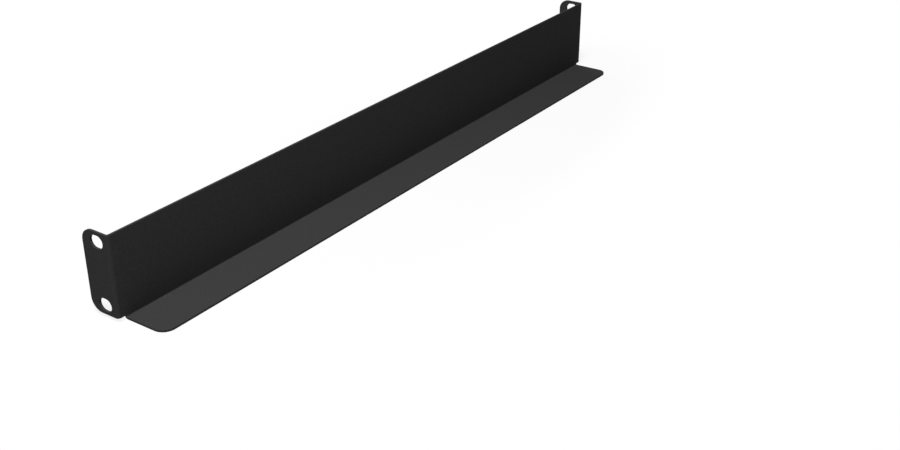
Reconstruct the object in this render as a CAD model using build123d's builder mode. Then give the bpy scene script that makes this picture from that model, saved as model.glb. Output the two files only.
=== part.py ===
from build123d import *
import math
import os

# Support bracket for an equipment rack: one sheet folded into a web, a shelf along its foot
# and a slotted ear at each end.
# X runs from the ears' side to the shelf's side, Y along the length and Z up. The origin is at
# the middle of the length and of the overall width, on the shelf's underside.

# Sheet and bends
sheet_thickness = 1.2
bend_inner_radius = 0.6
bend_outer_radius = bend_inner_radius + sheet_thickness
edge_rounding = 0.15

# Overall, along Y
overall_length = 416.0

# Shelf: its reach from the web's inner side, and how far it stops short of each end
shelf_reach = 24.0
shelf_setback = 4.6
shelf_corner_radius = 6.35

# Ears: their reach from the web's outer side
ear_reach = 15.75
ear_corner_radius = 6.35

# Relief between the shelf and an ear, cut a little past the start of the shelf's bend
relief_past_bend = 0.2
relief_corner_radius = 0.8

# Screw slots, lying across the ear one above the other. The land is what is left of the ear
# above the upper slot and below the lower one, so it settles the bracket's height.
slot_spacing = 31.75
slot_length = 7.9
slot_width = 6.5
slot_from_web = 6.4
slot_land = 1.8
slot_edge_break = 0.1

# How nearly an edge's length must equal the sheet's thickness to be taken for a line through it
length_match = 1e-4

# Places that follow from the sizes above
half_length = overall_length / 2
half_shelf = half_length - shelf_setback
half_straight = half_length - bend_outer_radius
overall_width = ear_reach + sheet_thickness + shelf_reach
ear_edge_x = -overall_width / 2
shelf_edge_x = overall_width / 2
web_outer_x = ear_edge_x + ear_reach
web_inner_x = web_outer_x + sheet_thickness
slot_x = web_outer_x - slot_from_web
foot_z = bend_outer_radius + relief_past_bend
ear_height = slot_spacing + slot_width + 2 * slot_land
top_z = foot_z + ear_height
ear_middle_z = foot_z + ear_height / 2


def crosses_sheet(edge):
    """Whether an edge is a straight line through the sheet, from one skin to the other."""
    is_line = edge.geom_type == GeomType.LINE
    return is_line and math.isclose(edge.length, sheet_thickness, rel_tol=length_match)


def is_cut_side(face):
    """Whether a face is a cut side of the sheet, between its two skins."""
    return any(crosses_sheet(edge) for edge in face.edges())


with BuildPart() as support_bracket:
    # Web and shelf: the fold seen from its end, drawn on the outer skin and thickened inwards
    with BuildSketch(Plane.XZ):
        with BuildLine():
            leg = Line((web_outer_x, top_z), (web_outer_x, bend_outer_radius))
            shelf_bend = JernArc(leg @ 1, leg % 1, radius=bend_outer_radius, arc_size=90)
            Line(shelf_bend @ 1, (shelf_edge_x, 0))
            offset(amount=sheet_thickness, side=Side.LEFT)
        make_face()
    extrude(amount=half_straight, both=True)

    # Reliefs: the shelf and its bend end short of the ears, leaving the web's foot free. Each cut
    # is drawn at twice the relief's own length and depth, so that it runs out past the sheet.
    with BuildSketch(Plane.YZ):
        with Locations((half_shelf, foot_z)):
            Rectangle(2 * shelf_setback, 2 * foot_z, align=(Align.MIN, Align.MAX))
        inner_corner = vertices().group_by(Axis.Y)[-1].sort_by(Axis.X)[0]
        fillet(inner_corner, radius=relief_corner_radius)
        mirror(about=Plane.YZ)
    extrude(amount=overall_width, both=True, mode=Mode.SUBTRACT)

    # Ears: each bend and ear seen from above, turned away from the shelf
    with BuildSketch(Plane.XY.offset(foot_z)):
        with BuildLine():
            ear_start = (web_inner_x, half_straight)
            ear_bend = JernArc(ear_start, (0, 1), radius=bend_outer_radius, arc_size=90)
            Line(ear_bend @ 1, (ear_edge_x, half_length))
            offset(amount=sheet_thickness, side=Side.LEFT)
        make_face()
        mirror(about=Plane.XZ)
    extrude(amount=ear_height)

    # Rounded free corners of the ears and of the shelf
    ear_corners = support_bracket.edges().filter_by(Axis.Y).group_by(Axis.X)[0]
    fillet(ear_corners, radius=ear_corner_radius)
    shelf_corners = support_bracket.edges().filter_by(Axis.Z).group_by(Axis.X)[-1]
    fillet(shelf_corners, radius=shelf_corner_radius)

    # Softened outline: every edge where a cut side meets one of the sheet's skins
    cut_sides = support_bracket.faces().filter_by(is_cut_side)
    rims = cut_sides.edges().filter_by(crosses_sheet, reverse=True)
    fillet(rims, radius=edge_rounding)

    # Screw slots through both ears, with a slight break on their edges
    with BuildSketch(Plane.XZ):
        with Locations((slot_x, ear_middle_z)):
            with GridLocations(0, slot_spacing, 1, 2):
                SlotOverall(slot_length, slot_width)
    extrude(amount=overall_length, both=True, mode=Mode.SUBTRACT)
    slot_rims = support_bracket.edges(Select.LAST).filter_by(crosses_sheet, reverse=True)
    chamfer(slot_rims, length=slot_edge_break)

support_bracket.part.label = "support_bracket"
os.makedirs("parts", exist_ok=True)
export_step(support_bracket.part, "parts/support_bracket.step")
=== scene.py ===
import math

import bpy
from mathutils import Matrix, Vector

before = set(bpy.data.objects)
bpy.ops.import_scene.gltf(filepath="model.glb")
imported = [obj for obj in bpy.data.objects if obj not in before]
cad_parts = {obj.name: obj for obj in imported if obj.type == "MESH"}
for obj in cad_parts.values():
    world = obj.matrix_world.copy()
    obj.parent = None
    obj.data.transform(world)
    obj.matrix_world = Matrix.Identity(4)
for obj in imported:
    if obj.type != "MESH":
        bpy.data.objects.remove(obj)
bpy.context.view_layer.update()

# Lengths are in metres and angles in degrees, a lens and its sensor in mm, a lamp's power in watts.

# Camera: the place, direction and lens that give the photograph's view
CAMERA_PLACE = (0.38164, -0.50406, 0.28642)
CAMERA_BELOW_HORIZON = 27.114
CAMERA_TURN = 34.791
CAMERA_LENS = 48.721
SENSOR_WIDTH = 36.0

# Powder coat: neutral black and matt, with a fine even grain, a slight waviness and a cloudy
# gloss. Each noise has its scale per metre, its detail and a roughness of its own.
GRAIN = {"Scale": 1600.0, "Detail": 2.0, "Roughness": 0.55}
WAVES = {"Scale": 260.0, "Detail": 1.0, "Roughness": 0.5}
CLOUDS = {"Scale": 14.0, "Detail": 4.0, "Roughness": 0.6}
GRAIN_DEPTH = 0.000016
WAVE_DEPTH = 0.000012
COAT_SPECULAR = 0.015
COAT_ROUGHNESS = (0.72, 0.88)

# Its colours: the darker one where the grain is at most the first value, the lighter one where it
# is at least the second
COAT_COLOURS = (
    (0.3, (0.036, 0.036, 0.036, 1.0)),
    (0.7, (0.050, 0.050, 0.050, 1.0)),
)

# Floor: half its width, the colour that sends light back to the object, and the colour that is
# seen. Near the object, plain white makes up a share of what is seen, and by the end of the fade
# it is all of it. The fade runs between two ellipses round the object, given by their reach along
# Y and by how many times narrower they are along X.
FLOOR_HALF = 4.0
FLOOR_LIT = (0.41, 0.41, 0.41, 1.0)
FLOOR_SEEN = (0.90, 0.90, 0.90, 1.0)
WHITE_SHARE_NEAR = 0.87
FADE_START = 0.20
FADE_END = 0.30
FADE_NARROWING = 3.0

# World: the strength of its light on the object
WORLD_LIGHT = 0.02

# Lamps: name, place, width and power. Each points at a place on the nearer half of the object.
AIM = Vector((0.0, -0.15, 0.02))
LAMPS = (
    ("overhead", (0.166, -0.44, 0.93), 0.28, 11.4),
    ("back_fill", (-0.62, 0.44, 0.12), 0.4, 4.2),
)


def node(tree, kind, **inputs):
    """A shader node with its named inputs set, underscores standing for spaces."""
    made = tree.nodes.new(kind)
    for name, value in inputs.items():
        made.inputs[name.replace("_", " ")].default_value = value
    return made


def new_material(name):
    """An empty node material and its node tree."""
    material = bpy.data.materials.new(name)
    material.use_nodes = True
    material.node_tree.nodes.clear()
    return material, material.node_tree


def mapped(tree, source, low, high):
    """The source, which runs from 0 to 1, carried to the range from low to high."""
    span = node(tree, "ShaderNodeMapRange", To_Min=low, To_Max=high)
    tree.links.new(source, span.inputs["Value"])
    return span.outputs["Result"]


def noise(tree, place, settings):
    """A noise from 0 to 1 with these settings, at each place of the object."""
    made = node(tree, "ShaderNodeTexNoise", **settings)
    tree.links.new(place, made.inputs["Vector"])
    return made.outputs["Fac"]


def bumped(tree, height, depth):
    """A bump node that raises the surface by the height times this depth."""
    bump = node(tree, "ShaderNodeBump", Distance=depth)
    tree.links.new(height, bump.inputs["Height"])
    return bump


def powder_coat():
    """Matt black powder coat: cloudy gloss, a fine grain in colour and relief, a slight waviness."""
    material, tree = new_material("powder_coat")
    link = tree.links.new
    place = node(tree, "ShaderNodeTexCoord").outputs["Object"]
    grain = noise(tree, place, GRAIN)
    waves = noise(tree, place, WAVES)
    clouds = noise(tree, place, CLOUDS)

    colour = tree.nodes.new("ShaderNodeValToRGB")
    for stop, (position, shade) in zip(colour.color_ramp.elements, COAT_COLOURS):
        stop.position = position
        stop.color = shade
    link(grain, colour.inputs["Fac"])

    wavy = bumped(tree, waves, WAVE_DEPTH)
    grainy = bumped(tree, grain, GRAIN_DEPTH)
    link(wavy.outputs["Normal"], grainy.inputs["Normal"])

    coat = node(tree, "ShaderNodeBsdfPrincipled", Specular_IOR_Level=COAT_SPECULAR)
    link(colour.outputs["Color"], coat.inputs["Base Color"])
    link(mapped(tree, clouds, *COAT_ROUGHNESS), coat.inputs["Roughness"])
    link(grainy.outputs["Normal"], coat.inputs["Normal"])
    output = node(tree, "ShaderNodeOutputMaterial")
    link(coat.outputs["BSDF"], output.inputs["Surface"])
    return material


def seen_directly(tree):
    """1 for rays from the camera and for mirrored or refracted ones, 0 for the light's own."""
    path = node(tree, "ShaderNodeLightPath")
    seen = path.outputs["Is Camera Ray"]
    for kind in ("Is Glossy Ray", "Is Transmission Ray"):
        either = tree.nodes.new("ShaderNodeMath")
        either.operation = "MAXIMUM"
        tree.links.new(seen, either.inputs[0])
        tree.links.new(path.outputs[kind], either.inputs[1])
        seen = either.outputs["Value"]
    return seen


def mixed(tree, share, first, second):
    """The first shader, with this share of the second."""
    mix = node(tree, "ShaderNodeMixShader")
    tree.links.new(share, mix.inputs["Fac"])
    tree.links.new(first, mix.inputs[1])
    tree.links.new(second, mix.inputs[2])
    return mix.outputs["Shader"]


def floor_material():
    """Pale matt paper that keeps the object's soft shadow and fades to white around it."""
    material, tree = new_material("floor_paper")
    place = node(tree, "ShaderNodeTexCoord").outputs["Object"]
    narrowed = node(tree, "ShaderNodeMapping", Scale=(FADE_NARROWING, 1.0, 1.0))
    tree.links.new(place, narrowed.inputs["Vector"])
    distance = tree.nodes.new("ShaderNodeVectorMath")
    distance.operation = "LENGTH"
    tree.links.new(narrowed.outputs["Vector"], distance.inputs[0])
    whiten = node(tree, "ShaderNodeMapRange", From_Min=FADE_START, From_Max=FADE_END,
                  To_Min=WHITE_SHARE_NEAR)
    whiten.interpolation_type = "SMOOTHSTEP"
    tree.links.new(distance.outputs["Value"], whiten.inputs["Value"])

    seen = node(tree, "ShaderNodeBsdfDiffuse", Color=FLOOR_SEEN)
    white = node(tree, "ShaderNodeEmission", Strength=1.0)
    lit = node(tree, "ShaderNodeBsdfDiffuse", Color=FLOOR_LIT)
    backdrop = mixed(tree, whiten.outputs["Result"], seen.outputs["BSDF"], white.outputs["Emission"])
    surface = mixed(tree, seen_directly(tree), lit.outputs["BSDF"], backdrop)
    output = node(tree, "ShaderNodeOutputMaterial")
    tree.links.new(surface, output.inputs["Surface"])
    return material


def make_floor():
    """A wide flat floor at the height of the shelf's underside."""
    corners = [(x * FLOOR_HALF, y * FLOOR_HALF, 0.0) for x, y in ((-1, -1), (1, -1), (1, 1), (-1, 1))]
    mesh = bpy.data.meshes.new("floor")
    mesh.from_pydata(corners, [], [(0, 1, 2, 3)])
    mesh.materials.append(floor_material())
    floor = bpy.data.objects.new("floor", mesh)
    bpy.context.scene.collection.objects.link(floor)


def make_world():
    """White where it is seen, and a plain soft light otherwise."""
    world = bpy.data.worlds.new("studio")
    world.use_nodes = True
    tree = world.node_tree
    tree.nodes.clear()
    light = node(tree, "ShaderNodeBackground", Color=(1.0, 1.0, 1.0, 1.0))
    strength = mapped(tree, seen_directly(tree), WORLD_LIGHT, 1.0)
    tree.links.new(strength, light.inputs["Strength"])
    output = node(tree, "ShaderNodeOutputWorld")
    tree.links.new(light.outputs["Background"], output.inputs["Surface"])
    bpy.context.scene.world = world


def make_lamp(name, place, width, power):
    """A soft square lamp that points at the object."""
    data = bpy.data.lights.new(name, "AREA")
    data.size = width
    data.energy = power
    lamp = bpy.data.objects.new(name, data)
    lamp.location = place
    lamp.rotation_euler = (AIM - lamp.location).to_track_quat("-Z", "Y").to_euler()
    bpy.context.scene.collection.objects.link(lamp)


def make_camera():
    """The photograph's camera."""
    data = bpy.data.cameras.new("photo_camera")
    data.lens = CAMERA_LENS
    data.sensor_width = SENSOR_WIDTH
    camera = bpy.data.objects.new("photo_camera", data)
    camera.location = CAMERA_PLACE
    camera.rotation_euler = (math.radians(90 - CAMERA_BELOW_HORIZON), 0, math.radians(CAMERA_TURN))
    bpy.context.scene.collection.objects.link(camera)
    bpy.context.scene.camera = camera


def paint(name, material):
    """Gives a CAD node this material in each of its slots."""
    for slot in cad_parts[name].material_slots:
        slot.material = material


paint("support_bracket", powder_coat())
make_floor()
make_world()
for lamp in LAMPS:
    make_lamp(*lamp)
make_camera()
bpy.context.scene.view_settings.view_transform = "Standard"
